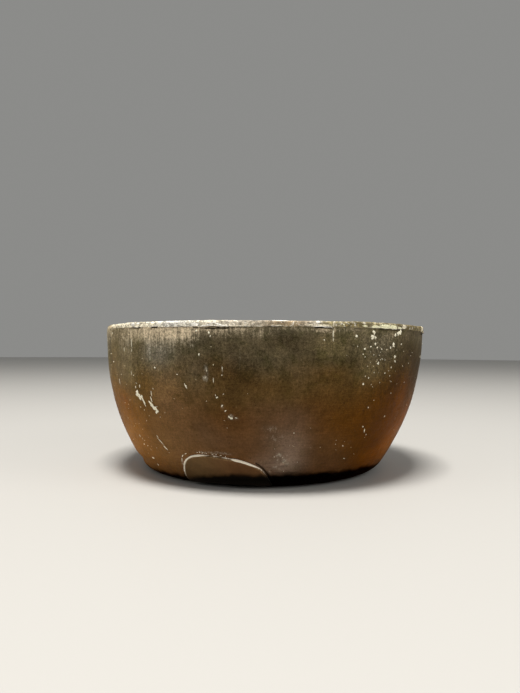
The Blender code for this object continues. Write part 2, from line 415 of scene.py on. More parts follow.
# Painted shadow in the joint under the strip's lower edge: from, to (angles), height, half height
# (mm), strength
JOINT_SHADOW = [
    (-45.8, -41.4, 63.45, 0.22, 1), (-36.8, -34, 63.4, 0.22, 1), (-33.4, -22, 63.4, 0.1, 0.6),
    (-21.4, -19.8, 63.1, 0.16, 0.9), (-18.2, -10.4, 62.9, 0.22, 1), (-10.2, -2, 63.2, 0.08, 0.45),
    (-0.5, 3, 63.4, 0.08, 0.4), (3, 12, 63.3, 0.05, 0.25), (13.4, 19.2, 63.4, 0.24, 1),
    (26, 31, 63.2, 0.12, 0.6), (36, 48, 63.2, 0.16, 0.8), (66, 78, 62.3, 0.26, 0.9),
    (77, 91, 62.9, 0.26, 0.9), (96, 112, 63.2, 0.3, 0.9), (131, 150, 63.2, 0.4, 1),
    (168, 176, 63.2, 0.25, 0.9), (190, 214, 63.2, 0.35, 1), (236, 250, 63.2, 0.3, 0.9),
    (262, 270, 63.2, 0.3, 0.9),
]
# It fades out along the joint, as shares of its half length, and across it (mm)
JOINT_ALONG = (1.15, 0.75)
JOINT_ACROSS = (0.2, -0.05)
JOINT_RAGGED = 0.12

# Painted shade darkens the right side, offsetting the stronger lamp there: from and to (angles),
# and by how much
DARK_SIDE_START = (8, 48)
DARK_SIDE_END = (140, 96)
DARK_SIDE = 0.2


# How much painted shade blackens each point of the foot, 0 to 1
def grime_share(angle, height):
    place = on_profile(angle, height)
    reach = np.interp(angle_between(angle, 0), *np.array(FOOT_SHADE_REACH).T)
    ragged = 0.5 * lumps(place, 3.5 * MM, 13) + 0.3 * lumps(place, 1.4 * MM, 14)
    return smooth(height / MM + ragged, *(reach + edge for edge in FOOT_SHADE_EDGE))


def outside_tone(angle, height):
    """Broad colour zones on the outside: the patina and its stains, some of them partly painted
    reflection, shade or highlight, with painted shade on the right side and at the foot.
    """
    place = on_profile(angle, height)
    drift = lumps(place, 22 * MM, 11) + 0.5 * lumps(place, 9 * MM, 12)
    level = height / MM + PATINA_DRIFT * drift
    tone = FOOT
    for color, start, full in PATINA:
        tone = mixed(tone, color, smooth(level, start, full))
    for *spot, strength, color in STAINS:
        share = np.clip(blob(angle, height, spot) * (1 + 0.5 * drift), 0, 1)
        tone = mixed(tone, color, strength * share)
    # Painted shade on the right side
    side = smooth(angle, *DARK_SIDE_START) * smooth(angle, *DARK_SIDE_END)
    tone = tone * (1 - DARK_SIDE * side)[..., None]
    return mixed(tone, FOOT_SHADE_BLACK, grime_share(angle, height))


# Whitish bloom and rubbed spots, with painted highlights on the crumpled dent low on the front, at
# angles 3 to 10 and heights 7 to 22 mm: angle, height, half width, half height (mm), strength
BLOOM_AND_HIGHLIGHTS = [
    (-34, 62.8, 20, 4.8, 0.85), (-30, 60, 9, 3.2, 0.5), (-21.5, 60.6, 4, 2.4, 0.45),
    (-41, 60.5, 6, 3, 0.4), (-22, 57.5, 4, 3, 0.3), (-10, 62.4, 10, 1.8, 0.6),
    (16, 62.6, 6, 1.3, 0.7), (50, 61, 12, 3, 0.2), (-72, 62, 14, 5, 0.5),
    (-25.5, 61.3, 4, 2.4, 0.75), (-37.5, 56, 3.2, 7, 0.7), (-31, 55.5, 7, 5, 0.42),
    (-62, 61, 18, 7, 0.4), (-50, 57, 9, 7, 0.35), (36, 57, 7, 6, 0.12), (4, 57, 14, 6, 0.04),
    (-8, 52, 8, 6, 0.18), (-20, 62.4, 4, 1.6, 0.6), (-30, 63.2, 30, 1.4, 0.5), (-48, 60, 5, 5, 0.3),
    (-12.5, 60.8, 5.5, 2.6, 0.3), (-2, 61.2, 6, 2, 0.3), (6, 62.9, 8, 1.1, 0.42),
    (25, 62.8, 8, 1.1, 0.4), (18, 61.4, 9, 1.8, 0.1), (41, 60.5, 6, 3.5, 0.22),
    (-31, 9, 1.3, 3.2, 0.5), (20, 59.2, 4, 2.5, 0.12), (-17.2, 48, 0.9, 1.7, 1.15),
    (-17.5, 44.4, 1.1, 1.4, 1.1), (-16.6, 46.2, 0.6, 0.9, 0.5), (-19.3, 53, 0.6, 0.8, 0.5),
    (-12.3, 47.4, 0.35, 1.2, 0.45), (-9.9, 29.7, 1.5, 1.1, 0.9), (-8.2, 29.4, 1.1, 0.7, 0.6),
    (-12.4, 33.9, 0.8, 1.1, 0.5), (2.3, 25.8, 3.6, 1.6, 0.42), (4.4, 22, 6, 3, 0.22),
    (6, 14.8, 1.5, 1.1, 0.8), (8, 12.1, 1.2, 1.2, 0.8), (9.3, 10.9, 1, 0.8, 0.85),
    (4.8, 9.3, 1.6, 0.8, 0.6), (5.6, 12.2, 0.5, 2.2, 0.5), (7.4, 8.6, 1.2, 1, 0.5),
    (3, 7.6, 0.6, 1.2, 0.35), (-49, 9, 1.6, 1, 0.5), (-14, 15, 5.5, 0.8, 0.55),
    (-21, 14.9, 4, 0.7, 0.5), (-26.9, 45.6, 1, 0.4, 0.4), (32, 11.8, 1.1, 0.4, 0.5),
    (29.5, 17.5, 0.9, 0.4, 0.4), (16.5, 17.6, 1.5, 0.4, 0.3), (32, 18.5, 1.2, 0.8, 0.3),
    (36, 32.8, 1, 1, 0.35), (33, 50, 5, 9, 0.08), (118, 60, 18, 6, 0.45), (165, 61, 22, 5, 0.5),
    (205, 58, 14, 7, 0.3), (250, 61, 20, 5, 0.5), (140, 24, 3, 1.4, 0.4), (224, 40, 1.6, 2.6, 0.5),
    (186, 30, 2.4, 1.2, 0.4),
]
BLOOM_MOST = 1.15

# The patina is most freckled here: angle, height, half width, half height (mm)
FRECKLES = (37, 55, 13, 9)


def bloom_and_highlight_amount(angle, height):
    amount = 0.0
    for *spot, strength in BLOOM_AND_HIGHLIGHTS:
        amount = amount + strength * blob(angle, height, spot) ** 1.5
    return np.clip(amount, 0, BLOOM_MOST)


def joint_dirt(angle, height):
    """Painted shadow, black, in the joint under the strip's lower edge."""
    level = height / MM + JOINT_RAGGED * lumps(on_profile(angle, height), 1.6 * MM, 15)
    dirt = np.zeros(np.shape(level))
    for start, end, middle, half, strength in JOINT_SHADOW:
        along = np.abs(angle_between(angle, (start + end) / 2)) / ((end - start) / 2)
        across = smooth(np.abs(level - middle), *(half + edge for edge in JOINT_ACROSS))
        dirt = np.maximum(dirt, strength * smooth(along, *JOINT_ALONG) * across)
    return dirt


# ---- materials

MIX_IN = (0, 6, 7)            # where a mix node has its amount and its two colours
MIX_OUT = 2


class Shader:
    """A material's node tree, with short calls for the nodes that are used here."""

    def __init__(self, name, **sockets):
        self.material = bpy.data.materials.new(name)
        self.material.use_nodes = True
        self.tree = self.material.node_tree
        self.surface = self.tree.nodes["Principled BSDF"]
        self.place = self.tree.nodes.new("ShaderNodeTexCoord").outputs["Object"]
        self.set(**sockets)

    def feed(self, socket, value):
        if isinstance(value, bpy.types.NodeSocket):
            self.tree.links.new(value, socket)
        elif socket.type == "RGBA":
            socket.default_value = (*value, 1.0)
        else:
            socket.default_value = value

    def set(self, **sockets):
        """Feed the surface's sockets, named with _ for a space."""
        for name, value in sockets.items():
            self.feed(self.surface.inputs[name.replace("_", " ")], value)

    def node(self, kind, output, inputs, **settings):
        """The named or numbered output of a new node with these inputs and settings."""
        node = self.tree.nodes.new("ShaderNode" + kind)
        for name, value in settings.items():
            setattr(node, name, value)
        for name, value in inputs.items():
            self.feed(node.inputs[name], value)
        return node.outputs[output]

    def noise(self, size, stretch=(1, 1, 1), detail=3.0, rough=0.55, twist=0.0):
        """Noise from 0 to 1 with features of this size in metres."""
        scale = [part / size for part in stretch]
        place = self.node("VectorMath", 0, {0: self.place, 1: scale}, operation="MULTIPLY")
        inputs = {"Vector": place, "Scale": 1.0, "Detail": detail, "Roughness": rough}
        return self.node("TexNoise", "Fac", {**inputs, "Distortion": twist})

    def attribute(self, name, output="Fac"):
        return self.node("Attribute", output, {}, attribute_name=name)

    def spread(self, value, low, high, bottom=0.0, top=1.0):
        """value's range low..high moved to bottom..top, with a smooth step."""
        inputs = {"Value": value, "From Min": low, "From Max": high}
        inputs.update({"To Min": bottom, "To Max": top})
        return self.node("MapRange", "Result", inputs, interpolation_type="SMOOTHSTEP")

    def times(self, first, second):
        return self.node("Math", 0, {0: first, 1: second}, operation="MULTIPLY")

    def plus(self, first, second):
        return self.node("Math", 0, {0: first, 1: second}, operation="ADD")

    def blend(self, amount, first, second, kind="MIX"):
        inputs = dict(zip(MIX_IN, (amount, first, second)))
        return self.node("Mix", MIX_OUT, inputs, data_type="RGBA", blend_type=kind)

    def shaded(self, color, amount):
        """A colour made darker or lighter by a number around 1."""
        return self.node("VectorMath", 0, {0: color, "Scale": amount}, operation="SCALE")

    def mottled(self, color, *layers):
        """A colour shaded by noises: each one, its low and high, and the shades for those."""
        for noise, *limits in layers:
            color = self.shaded(color, self.spread(noise, *limits))
        return color

    def relief(self, *layers):
        """Bumps, one over another: the height of each, and its distance in mm."""
        normal = {}
        for height, distance in layers:
            inputs = {"Height": height, "Distance": distance * MM, **normal}
            normal = {"Normal": self.node("Bump", "Normal", inputs)}
        self.set(**normal)


UPRIGHT = (1, 1, 0.07)     # streaks that run up and down the wall
LEVEL = (0.05, 0.05, 1)    # lines that run round the wall
PALE_BLOOM = srgb(222, 204, 174)
COOL_BLOOM = srgb(176, 170, 154)
TAN_SPECK = srgb(160, 134, 98)
# Black for dark specks and pits, and for painted shadow in the crevice, in the joint and on the
# strip's hidden face
SPECK_AND_SHADE_BLACK = srgb(22, 16, 10)
VERDIGRIS = srgb(104, 122, 84)


def bronze(name):
    """Brown patinated bronze over the painted zones: mottled, streaked, wiped, pitted."""
    s = Shader(name, Specular_IOR_Level=0.06, Specular_Tint=(0.62, 0.41, 0.2))
    tone, bloom = s.attribute("tone", "Color"), s.attribute("bloom_tone", "Color")
    haze, dirt, grime = (s.attribute(key) for key in ("haze", "dirt", "grime"))
    wide = s.noise(8 * MM, detail=4, rough=0.6, twist=0.5)
    blotch = s.noise(3.4 * MM, rough=0.6, twist=0.8)
    fine = s.noise(1.0 * MM, detail=4, rough=0.75)
    grain = s.noise(0.42 * MM, rough=0.75)
    upright = s.noise(0.8 * MM, UPRIGHT, rough=0.6)
    level = s.noise(0.45 * MM, LEVEL, rough=0.65)
    strength = s.plus(s.times(s.attribute("grainy"), 0.6), 0.4)
    for noise, most in ((wide, 0.15), (blotch, 0.11), (fine, 0.32), (grain, 0.32)):
        change = s.times(s.spread(noise, 0.34, 0.66, -most, most), strength)
        tone = s.shaded(tone, s.plus(change, 1.0))
    tone = s.mottled(tone, (upright, 0.3, 0.7, 0.93, 1.07), (level, 0.3, 0.7, 0.92, 1.08))
    green = s.spread(s.noise(5.5 * MM, twist=0.6), 0.45, 0.68, 0.0, 0.45)
    tone = s.blend(s.times(green, strength), tone, VERDIGRIS, "SOFT_LIGHT")
    wipes = s.times(s.spread(level, 0.6, 0.72), s.spread(wide, 0.42, 0.62, 0.0, 0.16))
    tone = s.blend(s.times(wipes, strength), tone, TAN_SPECK)

    mottle = s.plus(s.times(upright, 0.48), s.times(fine, 0.36))
    mottle = s.plus(mottle, s.plus(s.times(blotch, 0.25), s.times(grain, 0.26)))
    flakes = s.spread(s.plus(s.times(haze, 0.9), s.times(mottle, 4.4)), 3.1, 4.55)
    flakes = s.times(flakes, s.spread(haze, 0.02, 0.3))
    cover = s.plus(s.times(haze, 0.12), s.times(flakes, 0.86))
    bloom = s.mottled(bloom, (fine, 0.32, 0.68, 0.74, 1.18), (grain, 0.32, 0.68, 0.84, 1.12))
    tone = s.blend(cover, tone, bloom)

    specks = s.spread(s.noise(0.75 * MM, detail=1), 0.67, 0.75)
    specks = s.times(specks, s.spread(blotch, 0.48, 0.68, 0.0, 0.3))
    tone = s.blend(s.times(specks, strength), tone, TAN_SPECK)
    pits = s.spread(s.noise(0.6 * MM, detail=1, twist=0.3), 0.67, 0.74)
    tone = s.blend(s.times(pits, 0.45), tone, SPECK_AND_SHADE_BLACK)
    # Painted shadow blackens the crevice and the joint under the strip
    s.set(Base_Color=s.blend(dirt, tone, SPECK_AND_SHADE_BLACK))

    rough = s.plus(s.spread(blotch, 0.3, 0.7, 0.38, 0.5), s.spread(fine, 0.3, 0.7, -0.06, 0.1))
    rough = s.plus(rough, s.times(s.plus(haze, dirt), 0.3))
    s.set(Roughness=s.plus(rough, s.times(grime, 0.3)))
    s.set(Metallic=s.plus(s.spread(haze, 0.0, 0.8, 0.45, 0.1), s.times(grime, 0.55)))
    s.relief((wide, 0.3), (blotch, 0.1), (fine, 0.07), (level, 0.02), (grain, 0.02),
             (pits, -0.04))
    return s.material


# ---- the bowl

# Columns of the wall, denser where the wall is dented or rubbed: from, to, step (degrees)
COLUMN_BANDS = [(-44.0, -6.0, 0.4), (-6.0, 13.0, 0.2), (13.0, 26.0, 0.45)]
COLUMN_STEP = 1.05
# Rows from the top down: from, to, step (mm)
ROW_BANDS = [(SHELL_TOP / MM, 61.0, 0.22), (61.0, 18.0, 0.95), (18.0, CORNER_TOP / MM, 0.36)]
CORNER_ROWS = 16
BASE_ROWS = 11
INSIDE_EVERY = 3              # the inside has one row for this many outside
BASE_DISHING = 0.3 * MM       # the middle of the base stands this far off the table
ON_BASE = 1e-6                # a point under this height is on the base
WORN_RING = 0.9               # the base is rubbed round here, as a share of its radius
WORN_RING_EDGE = (0.16, 0.02)
BASE_WORN = MAUVE * 1.4
# Heights (mm) between which looks change from the lower part to the upper
INSIDE_TURNS = (3, 26)
INSIDE_HAZE_FROM = (50, 64)
GRAINY = (18, 56)
BLOOM_PALES = (54, 61)
INSIDE_HAZE = 0.15
FRECKLED = 0.6
# Painted shadow in the crevice beside the repair plate: how dark, and how wide
CREVICE_SHADOW = 0.95
CREVICE_SHADOW_WIDTH = 1.3 * CREVICE_WIDTH


def shell_columns():
    columns = [np.arange(start, end - 1e-6, step) for start, end, step in COLUMN_BANDS]
    first, last = COLUMN_BANDS[0][0], COLUMN_BANDS[-1][1]
    plain = 360 + first - last
    columns.append(np.linspace(last, first + 360, round(plain / COLUMN_STEP), endpoint=False))
    return np.concatenate(columns)


def shell_rows():
    """Rows of the outside, top to the middle of the base: radius, height, normal's two parts."""
    wall = [np.linspace(start, end, round((start - end) / step), endpoint=False) * MM
            for start, end, step in ROW_BANDS]
    turn = np.linspace(CORNER_ANGLE, 0, CORNER_ROWS)
    heights = np.concatenate(wall + [CORNER_RADIUS * (1 - np.cos(turn))])
    radius, out, up = profile_at(heights)
    rows = list(zip(radius, heights, out, up))
    for part in np.linspace(1, 0, BASE_ROWS)[1:-1]:
        rows.append((BASE_RADIUS * part, 0.0, 0.0, -1.0))
    return np.array(rows)


def make_bowl():
    """The whole sheet: outside, rounded lip, inside, and the base on both sides."""
    angles = shell_columns()
    outer = shell_rows()
    inner = np.concatenate([outer[:0:-INSIDE_EVERY], outer[:1]])
    rows = np.concatenate([outer, inner])
    radius, height, out, up = (rows[:, i:i + 1] for i in range(4))
    on_base = (radius < BASE_RADIUS * 0.999) & (height < ON_BASE)
    depth = np.repeat([0.0, SHEET], [len(outer), len(inner)])[:, None]
    offset = np.where(on_base, 0.0, wall_offset(angles[None, :], height)) - depth
    dish = BASE_DISHING * np.clip(1 - (radius / BASE_RADIUS) ** 2, 0, 1)
    points = round_place(angles[None, :], radius + out * offset, height + up * offset + dish)
    count, inside_start = len(angles), len(outer)
    faces = []
    for row in range(len(rows)):
        if row != inside_start - 1:
            faces += band(row * count, (row + 1) % len(rows) * count, count)
    total = len(rows) * count
    faces += fan((inside_start - 1) * count, total, count, True)
    faces += fan(inside_start * count, total + 1, count)
    middles = [(0, 0, BASE_DISHING), (0, 0, BASE_DISHING + SHEET)]
    points = np.concatenate([points.reshape(-1, 3), middles])

    angle = np.append(np.tile(angles, len(rows)), [0, 0])
    radius, height = (np.append(np.repeat(rows[:, i], count), [0, 0]) for i in range(2))
    inside = np.append(np.repeat(np.arange(len(rows)) >= inside_start, count), [False, True])
    under = (radius < BASE_RADIUS) & (height < ON_BASE)
    level = height / MM
    worn = smooth(np.abs(radius / BASE_RADIUS - WORN_RING), *WORN_RING_EDGE)
    base_colour = mixed(UNDERSIDE, BASE_WORN, worn)
    outside_colour = np.where(under[:, None], base_colour, outside_tone(angle, height))
    inside_colour = mixed(INSIDE_FLOOR, INSIDE_WALL, smooth(level, *INSIDE_TURNS))
    inside_haze = INSIDE_HAZE * smooth(level, *INSIDE_HAZE_FROM)
    haze = np.where(inside, inside_haze, bloom_and_highlight_amount(angle, height))
    # Painted shadow in the crevice and in the joint under the strip
    crevice = line_distance(angle, height, CREVICE) / CREVICE_SHADOW_WIDTH
    dirt = np.maximum(CREVICE_SHADOW * np.exp(-crevice ** 2), joint_dirt(angle, height))
    # The painted shade at the foot and the painted shadow in the crevice and the joint lie on the
    # outer wall only
    outer_wall = ~(inside | under)
    make_piece("bowl_sheet", points, faces, 50, bronze("patinated_bronze"), "bowl_shell",
               "bowl_bronze", tone=np.where(inside[:, None], inside_colour, outside_colour),
               haze=np.where(under, 0.0, haze), grime=outer_wall * grime_share(angle, height),
               grainy=smooth(level, *GRAINY) + FRECKLED * blob(angle, height, FRECKLES),
               bloom_tone=mixed(COOL_BLOOM, PALE_BLOOM, smooth(level, *BLOOM_PALES)),
               dirt=outer_wall * dirt)


# ---- the rim strip

STRIP_THICK = 0.5 * MM
STRIP_LEG = 2.45 * MM
STRIP_INNER_LEG = 3.4 * MM
STRIP_INNER_ROWS = (2.4 * MM, 1.6 * MM)     # further rows of that leg, under the top
STRIP_INNER_RADIUS = BELLY_RADIUS - SHEET - 0.8 * MM
STRIP_COLUMNS = 1200
STRIP_LUMPS = [(9 * MM, 21), (2.6 * MM, 22), (0.9 * MM, 23)]     # size, seed
# How much of each of those lumps its top, its outer face and its lower edge have (mm)
TOP_UNEVEN = (0.06, 0.06, 0.03)
FACE_UNEVEN = (0.05, 0.04, 0)
FOOT_UNEVEN = (0.1, 0.16, 0.17)
FACE_INSET = 0.34             # its face from the widest radius, and its foot from its face (mm)
FOOT_INSET = 0.27
OUTER_FOLD = 0.65             # radii of its two folds (mm)
INNER_FOLD = 0.8
HOLLOW = 0.03                 # of the outer leg (mm)
# Between these angles it is worn lower, further in, and rounder: by how much (mm)
WORN_START, WORN_END = (-44, -62), (-140, -120)
TOP_WORN, FACE_WORN, OUTER_WORN, INNER_WORN = 0.3, 0.3, 0.65, -0.35
# Crusts and lumps swell its outside: size, height (mm), seed
SWOLLEN = [(1.7 * MM, 0.1, 31), (0.9 * MM, 0.06, 32)]
CRUST_RISE = 0.1
LEDGE_ROWS = (4.2, 2.2)       # it brightens between these rows, counted from the lower edge
LEDGE_FADE = (1.15, 0.8)      # and from here to here, as shares of the half width

# Where the strip's lower edge lifts off the wall: angle, half width, out and up (mm)
LIFTS = [
    (-43.6, 2.2, 0.38, 0.14), (-35.4, 1.4, 0.38, 0.16), (-20.6, 1, 0.32, 0.22),
    (-18.9, 0.8, 0.3, -0.15), (-15, 2.4, 0.34, 0.22), (-11.6, 2.2, 0.34, 0), (-6, 1.6, 0.16, 0.08),
    (1, 2, 0.14, 0.1), (7, 3, 0.04, -0.1), (16.2, 2.9, 0.44, 0.12), (28.5, 3, 0.14, 0.06),
    (42, 6, 0.26, -0.05), (58, 6, 0.12, -0.1), (71.5, 4.5, 0.6, -0.85), (86, 6, 0.35, -0.3),
    (104, 8, 0.3, 0.2), (141, 9, 0.32, 0.3), (172, 4, 0.3, 0.25), (202, 12, 0.32, 0.2),
    (243, 7, 0.32, 0.3), (266, 4, 0.3, 0.2),
]
# Where its top is dented down or stands highest: angle, half width, up (mm)
TOP_WAVES = [
    (30, 9, 0.22), (60, 14, -0.22), (-15, 8, 0.1), (-50, 6, -0.12), (-38, 3, -0.15),
    (110, 12, -0.2), (165, 18, 0.1), (230, 14, -0.15),
]
TOP_SINK = 0.24 * MM          # how far the old rim's top is under a new one's
LAP_ANGLE = 19.8              # the strip's two ends overlap here
LAP_WIDTH = 4.5
LAP_STEP = 0.14 * MM
FACE_ROWS = 12
FOLD_ROWS = (6, 8)            # on the inner and the outer fold
TOP_FREE = 0.02 * MM          # it stays this far under the CAD's top


def strip_faces(angle):
    """The strip's exposed face, inner edge to outer edge, as (radius, height) at each angle."""
    spot = round_place(angle, RIM_RADIUS, RIM_TOP)
    noise = np.array([lumps(spot, size, seed) for size, seed in STRIP_LUMPS])
    wave, small = noise[:2]
    out = sum(lift * near(angle, centre, half) for centre, half, lift, _ in LIFTS)
    up = sum(lift * near(angle, centre, half) for centre, half, _, lift in LIFTS)
    waves = sum(lift * near(angle, centre, half) for centre, half, lift in TOP_WAVES)
    worn = smooth(angle, *WORN_START) * smooth(angle, *WORN_END)
    top = RIM_TOP - TOP_SINK + (np.dot(TOP_UNEVEN, noise) - TOP_WORN * worn + waves) * MM
    top = np.minimum(top, RIM_TOP - TOP_FREE)
    face = RIM_RADIUS - (FACE_INSET + FACE_WORN * worn - np.dot(FACE_UNEVEN, noise)) * MM
    past_lap = angle_between(angle, LAP_ANGLE)
    face = face + LAP_STEP * ((-LAP_WIDTH < past_lap) & (past_lap < 0))
    foot = RIM_TOP - STRIP_LEG + (up + np.dot(FOOT_UNEVEN, noise)) * MM
    outer_fold = (OUTER_FOLD + 0.1 * wave + OUTER_WORN * worn) * MM
    inner_fold = (INNER_FOLD + INNER_WORN * worn) * MM
    inner = STRIP_INNER_RADIUS
    points = [(inner, RIM_TOP - STRIP_INNER_LEG + 0.15 * small * MM)]
    points += [(inner + 0 * top, RIM_TOP - drop) for drop in STRIP_INNER_ROWS]
    for turn in np.linspace(0, math.pi / 2, FOLD_ROWS[0]):
        points.append((inner + inner_fold * (1 - math.cos(turn)),
                       top - inner_fold * (1 - math.sin(turn))))
    for turn in np.linspace(0, math.pi / 2, FOLD_ROWS[1]):
        points.append((face - outer_fold * (1 - math.sin(turn)),
                       top - outer_fold * (1 - math.cos(turn))))
    start = top - outer_fold
    hollow = (HOLLOW + 0.05 * wave) * MM * (1 - worn)
    flare = (out * (1 - worn) + 0.05 * small - FOOT_INSET) * MM
    for share in np.linspace(0, 1, FACE_ROWS + 1)[1:]:
        bulge = flare * share ** 3 - hollow * math.sin(math.pi * share)
        points.append((face + bulge, start + (foot - start) * share))
    return np.stack([np.stack(np.broadcast_arrays(*point), axis=-1) for point in points], axis=1)


def make_strip():
    angles = np.linspace(-180, 180, STRIP_COLUMNS, endpoint=False)
    exposed = strip_faces(angles)
    rows = exposed.shape[1]
    padded = np.concatenate([exposed[:, :1], exposed, exposed[:, -1:]], axis=1)
    run = padded[:, 2:] - padded[:, :-2]
    normal = np.stack([run[..., 1], -run[..., 0]], axis=-1)
    normal = normal / np.linalg.norm(normal, axis=-1, keepdims=True)
    hidden = (exposed + normal * STRIP_THICK)[:, ::-1]
    place = round_place(angles[:, None], exposed[..., 0], exposed[..., 1])
    crust = crust_shares(angles[:, None], place).max(axis=0)
    rise = CRUST_RISE * crust + sum(high * lumps(place, size, seed) for size, high, seed in SWOLLEN)
    exposed = np.minimum(exposed - normal * (rise * MM)[..., None], [RIM_RADIUS, RIM_TOP])
    section = np.concatenate([exposed, hidden], axis=1)
    points = round_place(angles[:, None], section[..., 0], section[..., 1]).reshape(-1, 3)
    across = section.shape[1]
    faces = []
    for i in range(STRIP_COLUMNS):
        faces += band(i * across, (i + 1) % STRIP_COLUMNS * across, across)
    angle = np.repeat(angles, across)
    row = np.arange(across)
    ledge = smooth(row, *(rows - above for above in LEDGE_ROWS)) * (row < rows)
    bright = np.zeros(STRIP_COLUMNS)
    for centre, half, strength in LEDGES:
        away = np.abs(angle_between(angles, centre)) / half
        bright = np.maximum(bright, strength * smooth(away, *LEDGE_FADE))
    make_piece("rim_strip", points, faces, 60, rim_metal("rim_metal"), "rim_binding", "rim_metal",
               tone=strip_tone(angle, points), hidden=np.tile(row >= rows, STRIP_COLUMNS),
               crust=np.append(crust, np.zeros(hidden.shape[:2]), axis=1),
               crust_tone=crust_tone(angle, points), ledge=np.outer(bright, ledge))


CREAM = srgb(240, 230, 204)
WARM_CREAM = srgb(208, 190, 154)
CHALK = srgb(252, 248, 238)
WARM_GREY = srgb(206, 196, 178)
GREY_METAL = srgb(190, 178, 158)
BROWN_METAL = srgb(158, 138, 108)
OLIVE = srgb(122, 108, 68)
OLIVE_TAN = srgb(160, 148, 110)
YELLOW_CREAM = srgb(246, 242, 204)
RED_BROWN = srgb(96, 40, 24)
WORN_METAL = srgb(110, 98, 78)
BROWN_TARNISH = srgb(66, 52, 32)

# Colour zones round the strip: angle, half width, colour
STRIP_ZONES = [
    (-82, 10, OLIVE_TAN), (-66, 8, WARM_CREAM), (-56, 6, CREAM), (-46, 6, CREAM), (-38, 4, CREAM),
    (-29, 7, CHALK), (-20, 5, CREAM), (-12, 6, WARM_GREY), (-3, 6, GREY_METAL), (7, 6, BROWN_METAL),
    (14, 3, WARM_GREY), (19, 3, OLIVE_TAN), (26, 4, OLIVE), (36, 6, OLIVE_TAN), (50, 6, OLIVE),
    (64, 8, OLIVE), (80, 8, OLIVE_TAN), (104, 14, GREY_METAL), (132, 12, CREAM),
    (150, 8, WARM_GREY), (172, 14, OLIVE), (198, 10, CHALK), (218, 10, WARM_GREY),
    (242, 14, BROWN_METAL), (266, 8, CREAM),
]

# Crusts of old paint and lime on it: angle, height, half width, half height (mm), strength, colour
STRIP_CRUSTS = [
    (-62, 65, 3, 0.6, 1, CREAM), (-45.4, 64.9, 1.6, 0.7, 1.3, CHALK),
    (-42.6, 65.1, 1.2, 0.5, 1.1, CHALK), (-36.4, 64.4, 1.4, 0.5, 1, CREAM),
    (-28, 65.2, 5.5, 0.5, 1.1, CHALK), (-21, 64.4, 2.2, 0.8, 1.2, CHALK),
    (-9, 63.6, 3.2, 0.25, 1.2, CREAM), (-17.8, 63.8, 1.5, 0.3, 1.2, CHALK),
    (-6.3, 63.7, 0.7, 0.35, 1.1, CREAM), (-5, 63.8, 0.5, 0.35, 1.1, CREAM),
    (-2.2, 63.6, 2.2, 0.2, 1, CREAM), (3.2, 64, 2.4, 0.22, 1.2, CREAM),
    (4, 65.7, 4, 0.2, 1.1, CHALK), (14.8, 65.3, 0.9, 0.5, 1.4, CHALK),
    (12.6, 64.4, 1.6, 0.4, 0.8, CREAM), (16.8, 64.2, 2.8, 0.3, 1.2, CREAM),
    (19.4, 64.6, 0.25, 1.4, 1.1, CREAM), (21.2, 65.2, 0.5, 0.3, 1, YELLOW_CREAM),
    (22.8, 64.6, 0.7, 0.4, 0.9, YELLOW_CREAM), (24.4, 65, 0.6, 0.3, 0.9, YELLOW_CREAM),
    (30.4, 64.3, 1.6, 0.35, 1, YELLOW_CREAM), (34.6, 64.1, 2.2, 0.55, 1.6, YELLOW_CREAM),
    (38.5, 64.3, 3, 0.85, 1.9, YELLOW_CREAM), (42.4, 64.2, 2.6, 0.85, 1.9, YELLOW_CREAM),
    (46.2, 64, 1.6, 0.55, 1.1, YELLOW_CREAM), (48.9, 64.6, 1.3, 0.9, 1.6, CREAM),
    (67.5, 64.5, 1.7, 1.2, 1.7, CREAM), (82, 64.6, 1.2, 0.9, 1.5, CREAM),
    (59, 64, 1.2, 0.4, 0.6, YELLOW_CREAM), (87, 64.4, 1.6, 1.5, 1.5, CREAM),
    (72.5, 62.6, 3.4, 0.4, 1.9, RED_BROWN), (88, 62.6, 3.4, 0.45, 1.9, RED_BROWN),
    (120, 64.6, 5, 0.6, 1.1, CREAM), (158, 64.2, 4, 0.5, 1.1, YELLOW_CREAM),
    (186, 65.2, 4, 0.5, 1, CHALK), (212, 64.2, 5, 0.5, 1.1, CREAM), (256, 64.8, 4, 0.6, 1.1, CHALK),
]

# A crease in it, risen to a peak and rubbed white: angle and height along it
CREASE = [
    (-18.6, 63.3), (-17.6, 63.6), (-16.7, 64.1), (-15.8, 64.7), (-15, 65), (-14.1, 64.6),
    (-13.2, 64.1), (-12.2, 63.8), (-11.2, 63.6), (-10.2, 63.5),
]
STRIP_CRUSTS += [(angle, level, 0.75, 0.3, 1.25, CHALK) for angle, level in CREASE]

# Where its lower edge is rubbed bright: angle, half width, strength
LEDGES = [
    (-43.5, 2, 0.5), (-35.2, 1.4, 0.6), (-22.4, 3.6, 0.8), (-15.2, 3.4, 0.95), (-6, 1.6, 0.6),
    (-2.8, 1.4, 0.7), (3.6, 2.2, 0.7), (16.2, 2.9, 0.95), (23, 2, 0.35), (40, 9, 0.5),
    (105, 6, 0.6), (140, 7, 0.8), (176, 6, 0.5), (204, 9, 0.8), (246, 6, 0.7), (268, 4, 0.6),
]


CRUST_DEPTH = 2.0 * MM        # crusts lie only on what is outside this depth
TONE_WANDER = 3               # how far the zones' borders wander (degrees)
TRACE = 1e-6                  # keeps the weights from being all 0


def crust_shares(angle, points):
    """How thick each crust lies at each point."""
    outside = np.hypot(points[..., 0], points[..., 1]) > RIM_RADIUS - CRUST_DEPTH
    shares = []
    for centre, level, wide, tall, strength, _ in STRIP_CRUSTS:
        x = np.radians(angle_between(angle, centre)) * RIM_RADIUS / MM / wide
        y = (points[..., 2] / MM - level) / tall
        shares.append(outside * strength * np.exp(-(x * x + y * y)))
    return np.array(shares)


